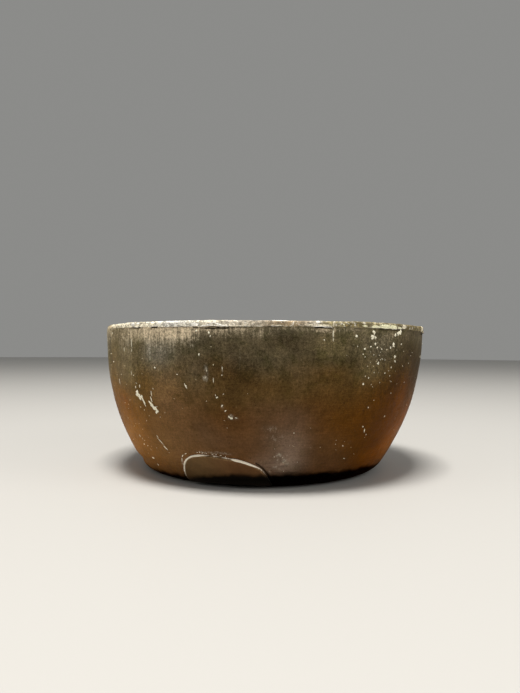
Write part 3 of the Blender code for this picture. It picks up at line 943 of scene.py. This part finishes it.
def strip_tone(angle, points):
    moved = angle + TONE_WANDER * lumps(points, 3 * MM, 41)
    shares = np.array([near(moved, centre, half) + TRACE for centre, half, _ in STRIP_ZONES])
    colors = np.array([zone[-1] for zone in STRIP_ZONES])
    return shares.T @ colors / shares.sum(axis=0)[:, None]


def crust_tone(angle, points):
    shares = crust_shares(angle, points) ** 3
    colors = np.array([crust[-1] for crust in STRIP_CRUSTS])
    return shares.T @ colors / (shares.sum(axis=0)[:, None] + TRACE)


def rim_metal(name):
    """Dull grey metal under chalky oxide and old paint, cracked and worn through in places."""
    s = Shader(name, Specular_IOR_Level=0.3)
    wide = s.noise(2.4 * MM, detail=4, rough=0.65, twist=0.6)
    mottle = s.noise(1.7 * MM, rough=0.6, twist=0.5)
    fine = s.noise(0.9 * MM, detail=4, rough=0.75, twist=0.3)
    grain = s.noise(0.42 * MM, rough=0.7)
    along = s.noise(0.35 * MM, LEVEL, rough=0.6)
    ragged = s.plus(s.times(fine, 1.5), s.times(grain, 0.7))
    crust = s.spread(s.plus(s.times(s.attribute("crust"), 0.9), ragged), 1.5, 1.66)
    bare = s.spread(s.plus(s.times(wide, 0.5), s.times(fine, 0.5)), 0.49, 0.58)
    tone = s.mottled(s.attribute("tone", "Color"), (mottle, 0.36, 0.64, 0.64, 1.5),
                     (fine, 0.32, 0.68, 0.66, 1.42), (grain, 0.32, 0.68, 0.7, 1.25),
                     (along, 0.3, 0.7, 0.86, 1.12))
    tone = s.blend(s.times(bare, 0.36), tone, WORN_METAL)
    brown = s.spread(s.noise(1.4 * MM, detail=4, rough=0.7, twist=0.9), 0.56, 0.64)
    tone = s.blend(s.times(brown, 0.6), tone, BROWN_TARNISH)
    flecks = s.spread(s.noise(0.8 * MM, rough=0.7, twist=0.5), 0.54, 0.62)
    flecks = s.times(flecks, s.spread(mottle, 0.44, 0.58, 0.05, 0.8))
    tone = s.blend(flecks, tone, CHALK)
    flaky = s.mottled(s.attribute("crust_tone", "Color"), (grain, 0.3, 0.7, 0.82, 1.25))
    tone = s.blend(crust, tone, flaky)
    rubbed = s.times(s.attribute("ledge"), s.spread(s.plus(fine, s.times(grain, 0.5)), 0.62, 0.8))
    tone = s.blend(rubbed, tone, CHALK)
    free = s.plus(1.0, s.times(crust, -1.0))
    # The strip's hidden face, against the wall, is painted black as shade
    s.set(Base_Color=s.blend(s.attribute("hidden"), tone, SPECK_AND_SHADE_BLACK),
          Roughness=s.spread(bare, 0, 1, 0.74, 0.48),
          Metallic=s.times(free, s.spread(bare, 0, 1, 0.0, 0.45)))
    s.relief((wide, 0.2), (mottle, 0.3), (fine, 0.26), (grain, 0.07), (crust, 0.12))
    return s.material


# ---- the repair plate and its solder

PATCH_ANGLE = -14.5
PATCH_PROUD = 0.75 * MM
PATCH_SUNK = -0.15 * MM       # its back is this far inside the wall's surface
PATCH_EDGE = 0.55             # mm over which the plate's edge rounds down
PATCH_EDGE_PROUD = 0.25       # share of its height that the very edge keeps
PATCH_MIDDLE = np.array([0.0, 5.6])
# Its rings of points, as shares of the way from the outline to the middle
PATCH_RINGS = [0.0, 0.008, 0.02, 0.035, 0.055] + list(np.linspace(0.08, 0.97, 26))
PLATE_LEFT = srgb(96, 73, 45)
PLATE_RIGHT = srgb(96, 66, 40)
PLATE_TURNS = (-24, -8)       # angles between which its colour changes
PLATE_RUBBED = (0.9, 0.2)     # its edge is rubbed from here outward (mm)
PATCH_TOP_SIDE = [            # sideways and up, in mm, left end to right end
    (-16.2, 1.9), (-16.9, 6), (-15.6, 10.6), (-11.6, 13.2), (-5, 13.8), (2.5, 13.1), (9, 11.7),
    (14.2, 9.3), (16.6, 6.2), (17.6, 3.6), (18, 1.9),
]


def smooth_line(points, count):
    """Evenly spaced points on a Catmull-Rom curve through a list of points."""
    points = np.array(points, float)
    padded = np.concatenate([[2 * points[0] - points[1]], points, [2 * points[-1] - points[-2]]])
    line = []
    for a, b, c, d in zip(padded, padded[1:], padded[2:], padded[3:]):
        for t in np.linspace(0, 1, 24, endpoint=False):
            line.append(0.5 * (2 * b + (c - a) * t + (2 * a - 5 * b + 4 * c - d) * t ** 2
                               + (3 * b - a - 3 * c + d) * t ** 3))
    line = np.array(line + [points[-1]])
    length = np.concatenate([[0], np.cumsum(np.linalg.norm(np.diff(line, axis=0), axis=1))])
    even = np.linspace(0, length[-1], count)
    return np.stack([np.interp(even, length, line[:, i]) for i in range(2)], axis=1)


def plate_angle(sideways, up):
    """The angle round the bowl of a spot on the plate's flat outline (mm)."""
    radius = profile_at(up * MM)[0] / MM
    return PATCH_ANGLE + np.degrees(np.arcsin(sideways / radius))


def plate_point(spot, lift):
    """A point this far off the wall, over a spot on the plate's flat outline (mm)."""
    sideways, up = spot.T
    return wall_point(plate_angle(sideways, up), up * MM, lift)


def make_patch():
    top_side = smooth_line(PATCH_TOP_SIDE, 150)
    foot = np.linspace(top_side[-1], top_side[0], 60)[1:-1]
    outline = np.concatenate([top_side, foot])
    count = len(outline)
    points, inset = [], []
    for ring in PATCH_RINGS:
        flat = outline + (PATCH_MIDDLE - outline) * ring
        depth = np.linalg.norm(flat - outline, axis=1)
        rounding = np.sqrt(1 - (1 - np.clip(depth / PATCH_EDGE, 0, 1)) ** 2)
        proud = PATCH_EDGE_PROUD + (1 - PATCH_EDGE_PROUD) * rounding
        points.append(plate_point(flat, PATCH_PROUD * proud))
        inset.append(depth)
    points.append(plate_point(outline, PATCH_SUNK))
    middles = [plate_point(PATCH_MIDDLE, lift) for lift in (PATCH_PROUD, PATCH_SUNK)]
    points = np.concatenate(points + [middles])
    last, back = (len(PATCH_RINGS) - 1) * count, len(PATCH_RINGS) * count
    faces = band(0, back, count)
    for ring in range(0, last, count):
        faces += band(ring, ring + count, count, True)
    faces += fan(last, back + count, count)
    faces += fan(back, back + count + 1, count, True)
    inset = np.concatenate(inset + [np.zeros(count), [PATCH_MIDDLE[1], 0]])
    angle = np.degrees(np.arctan2(points[:, 0], -points[:, 1]))
    # Painted shade blackens the plate low down, where the wall turns under, and its rubbed edge
    # does not show there
    grime = grime_share(angle, points[:, 2])
    tone = mixed(PLATE_LEFT, PLATE_RIGHT, smooth(angle, *PLATE_TURNS))
    make_piece("repair_plate", points, faces, 45, plate_bronze("plate_bronze"), "repair_patch",
               "patch_bronze", edge=smooth(inset, *PLATE_RUBBED) * (1 - grime),
               tone=mixed(tone, FOOT_SHADE_BLACK, grime))


def plate_bronze(name):
    """The plate's smoother, even, brown-grey sheet, with a worn edge."""
    s = Shader(name, Metallic=0.45, Specular_IOR_Level=0.18, Specular_Tint=(0.85, 0.66, 0.44))
    wide = s.noise(6 * MM)
    fine = s.noise(1.1 * MM, detail=4, rough=0.65)
    level = s.noise(0.4 * MM, LEVEL, rough=0.65)
    tone = s.mottled(s.attribute("tone", "Color"), (wide, 0.3, 0.7, 0.88, 1.12),
                     (fine, 0.25, 0.75, 0.9, 1.1))
    edge = s.times(s.attribute("edge"), s.spread(fine, 0.4, 0.6, 0.1, 0.5))
    s.set(Base_Color=s.blend(edge, tone, TAN_SPECK), Roughness=s.spread(fine, 0.3, 0.7, 0.3, 0.42))
    s.relief((wide, 0.12), (fine, 0.03), (level, 0.012))
    return s.material


# The solder's half width along the plate's top side: share of its length, half width (mm)
SOLDER_WIDTHS = [
    (0, 0.06), (0.05, 0.26), (0.1, 0.4), (0.15, 0.36), (0.2, 0.34), (0.26, 0.26), (0.32, 0.32),
    (0.37, 0.18), (0.42, 0.09), (0.47, 0.14), (0.5, 0.06), (0.55, 0.14), (0.59, 0.08), (0.64, 0.3),
    (0.7, 0.38), (0.76, 0.3), (0.81, 0.14), (0.88, 0.08), (0.92, 0.04), (1, 0.03),
]
# How bright it is along the same line: partly bare pale solder, partly painted highlight where the
# bead catches light from above
SOLDER_CLEAN = [
    (0, 0.1), (0.05, 0.5), (0.1, 0.7), (0.15, 0.72), (0.2, 1.05), (0.34, 1.05), (0.39, 0.55),
    (0.44, 0.25), (0.48, 0.5), (0.51, 0.2), (0.56, 0.55), (0.59, 0.3), (0.63, 1.05), (0.77, 1.05),
    (0.84, 0.55), (0.9, 0.25), (0.93, 0), (1, 0),
]
SOLDER_DIRT = srgb(122, 92, 58)
# Near white: partly the solder's colour, partly painted highlight
SOLDER_BRIGHT = srgb(255, 246, 226)
SOLDER_RISE = 0.62 * MM
SOLDER_AWAY = 0.1            # how far the bead's middle is off the plate's edge (mm)
SOLDER_SIDES = 10
SOLDER_COLUMNS = 260
SOLDER_WOBBLE = 0.3           # how much its width varies, in lumps of this size (mm)
SOLDER_WOBBLE_SIZE = 1.3
SOLDER_FLAT = 0.45            # share of its rise that it has all across
SOLDER_FULL = 0.25            # half width (mm) where it has that
SOLDER_ROUND = 0.9 / 0.4      # rise of its middle for each mm of half width
SOLDER_ON_PLATE = 0.35 * PATCH_PROUD


def make_solder():
    """A flattened bead that fills the step between the plate's edge and the wall."""
    line = smooth_line(PATCH_TOP_SIDE, SOLDER_COLUMNS)
    along = np.gradient(line, axis=0)
    along /= np.linalg.norm(along, axis=1, keepdims=True)
    away = np.stack([-along[:, 1], along[:, 0]], axis=1)
    share = np.linspace(0, 1, len(line))
    half = np.interp(share, *np.array(SOLDER_WIDTHS).T)
    wobble = lumps(np.insert(line, 2, 0, axis=1), SOLDER_WOBBLE_SIZE, 51)
    half = half * (1 + SOLDER_WOBBLE * wobble)
    flat_rise = SOLDER_FLAT * np.clip(half / SOLDER_FULL, 0, 1)
    points = []
    for side in range(SOLDER_SIDES):
        turn = math.tau * side / SOLDER_SIDES
        flat = line + away * (SOLDER_AWAY + half * math.cos(turn))[:, None]
        lift = SOLDER_RISE * (flat_rise + SOLDER_ROUND * math.sin(turn) * half)
        points.append(plate_point(flat, lift + SOLDER_ON_PLATE * (math.cos(turn) < 0)))
    points = np.stack(points, axis=1).reshape(-1, 3)
    ends = range(0, len(points), SOLDER_SIDES)
    faces = []
    for first, second in zip(ends, ends[1:]):
        faces += band(first, second, SOLDER_SIDES)
    faces += [tuple(range(SOLDER_SIDES)), tuple(reversed(range(ends[-1], len(points))))]
    clean = np.interp(share, *np.array(SOLDER_CLEAN).T)
    # Painted shade blackens the bead low down, where the wall turns under
    grime = grime_share(plate_angle(*line.T), line[:, 1] * MM)
    make_piece("solder_bead", points, faces, 70, solder_metal("solder_metal"), "patch_solder",
               "solder", clean=np.repeat(clean, SOLDER_SIDES), grime=np.repeat(grime, SOLDER_SIDES))


def solder_metal(name):
    """Pale, dull solder with brown soil in its hollows; its brightest parts are partly painted
    highlight, and painted shade blackens it low down.
    """
    s = Shader(name)
    fine = s.noise(0.7 * MM, detail=4, rough=0.7)
    bright = s.spread(s.plus(s.attribute("clean"), s.times(fine, 1.7)), 1.1, 1.62)
    tone = s.blend(bright, SOLDER_DIRT, SOLDER_BRIGHT)
    s.set(Base_Color=s.blend(s.attribute("grime"), tone, FOOT_SHADE_BLACK),
          Roughness=s.spread(fine, 0.3, 0.7, 0.32, 0.5))
    s.relief((fine, 0.08))
    return s.material


# ---- paint specks

# Chips, listed one by one: angle, height, width, tall, tilt (degrees), all sizes in mm
CHIPS = [
    (-45.4, 36.9, 2.3, 3, -8), (-44.2, 35.5, 1.9, 2.2, -30), (-43, 35.2, 0.8, 3.6, -20),
    (-42.4, 33.4, 0.75, 2.8, -24), (-43.4, 40.1, 0.45, 1.5, 10), (-45.8, 39.6, 0.6, 0.9, 0),
    (-38.1, 37.4, 0.45, 2, 0), (-38.6, 35.2, 0.6, 2, -14), (-39.3, 33.6, 1.2, 1.8, -30),
    (-38.5, 32.3, 1.5, 2.4, -40), (-37.6, 31.6, 1.8, 2, -30), (-36.9, 30.4, 2, 1.6, 0),
    (-40, 34.3, 0.4, 0.5, 0), (-35.4, 47.8, 0.6, 0.7, 0), (-26.9, 45.5, 1.1, 0.25, 0),
    (-24.1, 41.1, 0.65, 2, -30), (-20.3, 62, 0.7, 0.8, 0), (-16.4, 61.2, 0.55, 1.3, 0),
    (-16, 60, 0.3, 1.1, 8), (-19.4, 53.1, 0.5, 0.8, 20), (-17, 47.2, 0.3, 0.6, -20),
    (-17.5, 44.5, 0.3, 0.4, 0), (-12.3, 48.1, 0.28, 1.3, 0), (-12.4, 45.6, 0.35, 0.6, 0),
    (-15, 43.6, 0.22, 2.3, 0), (-14.1, 37.2, 0.8, 0.7, 0), (-14.5, 38.1, 0.3, 0.7, 0),
    (-12.6, 34.1, 0.4, 0.9, 30), (-11.6, 32.2, 0.5, 0.8, 20), (-10.5, 30, 0.9, 0.7, 50),
    (-9.9, 29.4, 1.4, 0.9, 20), (-8.3, 29.6, 0.8, 0.35, 20), (-46.4, 57.4, 0.3, 3.4, 0),
    (-46.4, 54.4, 0.22, 1.2, 0), (-51.3, 54.8, 0.22, 1.6, 0), (-47.3, 45.2, 0.22, 1.8, 0),
    (-57, 41.2, 0.28, 2.6, 0), (-61.6, 61.6, 0.5, 0.7, 0), (-52.2, 18.4, 0.45, 1.2, 0),
    (-51.4, 14.8, 0.6, 0.8, 0), (-49.8, 16.6, 0.35, 0.5, 0), (-39, 17.6, 0.36, 3.4, -40),
    (-37.6, 15.2, 0.44, 3, -42), (-40, 19.6, 0.3, 1.4, -20), (-49, 9, 1.9, 0.8, 0),
    (-48.2, 5.9, 0.9, 0.9, 0), (-31.2, 8.4, 0.3, 1.8, -4), (-31.2, 10.8, 0.35, 1.9, 14),
    (-30.3, 12.6, 0.4, 1.6, 42), (-28.6, 13.7, 0.3, 1.3, 66), (-23.4, 14.7, 0.6, 0.3, 0),
    (-22.4, 15, 0.4, 0.5, 0), (-21.3, 14.7, 0.5, 0.25, 0), (-19.8, 14.6, 0.4, 0.25, 0),
    (-17.6, 14.3, 0.7, 0.22, 0), (-16.2, 14.4, 0.4, 0.3, 0), (-14.6, 14.1, 0.8, 0.22, 0),
    (-12.8, 13.8, 0.4, 0.3, 0), (19.5, 61.2, 0.34, 3.6, 0), (19.6, 58.9, 0.22, 1.4, 0),
    (16.8, 58.8, 0.5, 0.6, 0), (27.3, 60.4, 1.2, 1.1, 20), (33.9, 62, 1.4, 1.5, 0),
    (33.4, 60.2, 1.9, 1.8, 30), (34.6, 60, 1, 1, 0), (34.7, 57.6, 0.8, 1, 0),
    (33, 56.5, 0.6, 0.7, 0), (30.7, 55.6, 0.7, 0.9, 30), (30.2, 53.6, 0.5, 0.4, 0),
    (31, 52.6, 0.4, 0.5, 0), (34.4, 53.4, 0.5, 0.5, 0), (46.4, 62.3, 2.5, 1.9, -20),
    (45.2, 61.6, 1.2, 1.4, 0), (43.8, 61.2, 1.1, 1.4, -20), (43.1, 57.4, 1.3, 1.9, 0),
    (41.7, 56.2, 0.8, 0.9, 20), (44.3, 52.6, 1.4, 1.1, 0), (44.6, 50.8, 1.1, 0.8, 0),
    (36.5, 50.1, 1, 1.1, 20), (37.3, 51.4, 0.3, 0.5, 40), (38.1, 51.7, 1, 0.25, 10),
    (39.4, 51.3, 0.3, 0.4, 0), (42.9, 48.4, 0.5, 0.6, 0), (40.1, 46.2, 0.35, 0.8, 0),
    (42.8, 45, 0.4, 0.5, 0), (33.2, 44.5, 0.5, 0.6, 0), (31.4, 42.2, 0.9, 0.9, 0),
    (44, 42.6, 0.35, 0.6, 0), (35.6, 24.9, 0.5, 0.9, -30), (37, 23.2, 0.6, 1.5, -24),
    (38.7, 21.3, 0.3, 0.8, -10), (35.5, 32.8, 0.6, 0.5, 0), (45.4, 28.4, 0.4, 0.8, 0),
    (32.1, 11.8, 1.1, 0.3, 0), (29.3, 17.5, 0.6, 0.5, 0), (10, 23.9, 0.45, 0.5, 0),
    (68, 52.3, 0.5, 1, 0), (82, 52, 0.7, 0.9, 0), (74, 58, 0.5, 0.6, 0),
]
HAND_DIRTIEST = 0.42          # they are cleaner than the scattered ones, which go up to 1

# Scattered specks: centre angle, height, spread round, spread up (mm), how many, largest size
SCATTER = [
    (36, 57, 8, 4, 22, 0.36), (38, 50, 9, 6, 22, 0.28), (-40, 36, 9, 8, 14, 0.3),
    (-14, 34, 10, 9, 8, 0.26), (28, 20, 14, 6, 9, 0.26), (-48, 14, 6, 5, 12, 0.34),
    (-60, 48, 16, 12, 14, 0.28), (56, 40, 14, 14, 12, 0.3), (8, 12, 4, 3, 10, 0.24),
    (120, 42, 40, 14, 50, 0.5), (190, 35, 45, 16, 44, 0.5), (255, 45, 30, 12, 44, 0.45),
    (160, 55, 30, 6, 30, 0.45), (300, 30, 30, 14, 30, 0.35),
]
SCATTER_HEIGHTS = (4, 62.4)   # none lies outside these (mm)
SCATTER_RADIUS = 72           # of the wall, for the spread round (mm)
CHIP_THICK = 0.2 * MM
CHIP_RINGS = [(1.0, None), (0.88, 0.45), (0.5, 0.88)]     # share of its width, of its thickness
CHIP_SUNK = (-0.05 * MM, -0.08 * MM)     # its edge, and the middle of its back
CHIP_POINTS = (9, 40)         # fewest and most round its edge
CHIP_WAVES = (2, 3, 4, 5, 7)  # that make its edge uneven
CHIP_UNEVEN = 0.42
CHIP_EDGE = (0.3, 1.5)        # least and most, as shares of its plain oval
CHIP_LEAST = 0.14             # the smallest scattered one (mm)


def chip(spot, random, points, faces, tints, dirtiest=1.0):
    """One thin, irregular island of paint that follows the wall; a closed solid."""
    angle, level, wide, tall, tilt = spot
    count = int(np.clip(round(6 * (wide + tall)), *CHIP_POINTS))
    turn = np.arange(count) * math.tau / count
    edge = np.ones(count)
    for waves in CHIP_WAVES:
        uneven = random.uniform(-CHIP_UNEVEN, CHIP_UNEVEN) / math.sqrt(waves)
        edge = edge + uneven * np.cos(waves * turn + random.uniform(0, math.tau))
    edge = np.clip(edge * random.uniform(0.78, 1.15, count), *CHIP_EDGE)
    x0, y0 = edge * np.cos(turn) * wide / 2, edge * np.sin(turn) * tall / 2
    lean = math.radians(tilt)
    x = x0 * math.cos(lean) + y0 * math.sin(lean)
    y = y0 * math.cos(lean) - x0 * math.sin(lean)
    radius, _, down = profile_at(level * MM)
    upright = math.sqrt(max(0.2, 1 - down * down))
    thick = CHIP_THICK * random.uniform(0.6, 1.2) * min(1.0, 0.5 + min(wide, tall))
    start = len(points)
    for share, high in CHIP_RINGS:
        around = angle + np.degrees(share * x * MM / radius)
        up = (level + share * y * upright) * MM
        lift = high * thick * random.uniform(0.85, 1.15, count) if high else CHIP_SUNK[0]
        points.extend(wall_point(around, up, lift))
    points.extend(wall_point(angle, level * MM, lift) for lift in (thick, CHIP_SUNK[1]))
    for ring in range(2):
        faces += band(start + ring * count, start + (ring + 1) * count, count, True)
    faces += fan(start + 2 * count, start + 3 * count, count)
    faces += fan(start, start + 3 * count + 1, count, True)
    tints.extend([random.uniform(0, dirtiest)] * (3 * count + 2))


def make_paint():
    random = np.random.default_rng(7)
    points, faces, tints = [], [], []
    for spot in CHIPS:
        chip(spot, random, points, faces, tints, HAND_DIRTIEST)
    for centre, level, wide, tall, count, largest in SCATTER:
        for _ in range(count):
            height = random.normal(level, tall)
            angle = centre + math.degrees(random.normal(0, wide) / SCATTER_RADIUS)
            size = largest * random.uniform(0.25, 1) ** 2 + CHIP_LEAST
            stretch = random.uniform(0.7, 1.9)
            if SCATTER_HEIGHTS[0] < height < SCATTER_HEIGHTS[1]:
                chip((angle, height, size, size * stretch, random.uniform(-40, 40)),
                     random, points, faces, tints)
    make_piece("paint_specks", points, faces, 60, old_paint("old_paint"), None, "old_paint",
               tint=tints)


CLEAN_PAINT = srgb(244, 238, 214)
DIRTY_PAINT = srgb(186, 168, 124)


def old_paint(name):
    """Chalky cream paint, dirtier on some chips than on others."""
    s = Shader(name, Roughness=0.75)
    fine = s.noise(0.5 * MM, rough=0.7)
    dirty = s.spread(s.attribute("tint"), 0.3, 0.95, 0.0, 0.75)
    tone = s.blend(dirty, CLEAN_PAINT, DIRTY_PAINT)
    s.set(Base_Color=s.mottled(tone, (fine, 0.3, 0.7, 0.84, 1.12)))
    s.relief((fine, 0.05))
    return s.material


# ---- stage, light and camera

FLOOR_RADIUS = 3.0
FLOOR_SIDES = 96
FLOOR_DROP = -0.02 * MM
FLOOR_COLOR = (0.52, 0.51, 0.49)
WORLD_COLOR = (0.62, 0.62, 0.6, 1)
WORLD_STRENGTH = 0.42
# Area lights: name, place, height aimed at, width, height, watts, colour
LIGHTS = [
    ("key", (-0.08, -0.27, 1.2), 0.03, 0.36, 0.3, 20, (1.0, 0.97, 0.92)),
    ("left", (-1.1, -0.5, 0.6), 0.04, 0.7, 0.7, 2.0, (1.0, 0.96, 0.9)),
    ("right", (1.1, -0.5, 0.7), 0.04, 0.6, 0.8, 4.0, (1.0, 0.97, 0.92)),
]


def make_stage():
    turn = np.linspace(0, math.tau, FLOOR_SIDES, endpoint=False)
    edge = np.stack([np.cos(turn), np.sin(turn), 0 * turn], axis=1) * FLOOR_RADIUS
    floor = make_mesh("floor", edge, [tuple(range(FLOOR_SIDES))])
    shader = Shader("pale_floor", Roughness=0.6, Base_Color=FLOOR_COLOR)
    floor.data.materials.append(shader.material)
    floor.location.z = FLOOR_DROP


def make_lights():
    for name, place, aim, width, height, power, color in LIGHTS:
        data = bpy.data.lights.new(name, "AREA")
        data.shape = "RECTANGLE"
        data.size, data.size_y = width, height
        data.energy = power
        data.color = color
        obj = bpy.data.objects.new(name, data)
        bpy.context.scene.collection.objects.link(obj)
        obj.location = place
        away = Vector((0, 0, aim)) - Vector(place)
        obj.rotation_euler = away.to_track_quat("-Z", "Y").to_euler()
    world = bpy.data.worlds.new("studio")
    bpy.context.scene.world = world
    world.use_nodes = True
    background = world.node_tree.nodes["Background"]
    background.inputs["Color"].default_value = WORLD_COLOR
    background.inputs["Strength"].default_value = WORLD_STRENGTH


def make_camera():
    data = bpy.data.cameras.new("camera")
    data.lens = CAMERA_LENS
    data.sensor_width = 36
    data.clip_start = 0.01
    camera = bpy.data.objects.new("camera", data)
    bpy.context.scene.collection.objects.link(camera)
    camera.location = (CAMERA_ASIDE, -CAMERA_DISTANCE, CAMERA_HEIGHT)
    camera.rotation_mode = "XYZ"
    camera.rotation_euler = (math.pi / 2 + CAMERA_PITCH, CAMERA_ROLL, 0)
    bpy.context.scene.camera = camera
    bpy.context.scene.view_settings.view_transform = "Standard"


make_camera()
make_stage()
make_lights()
make_bowl()
make_strip()
make_patch()
make_solder()
make_paint()
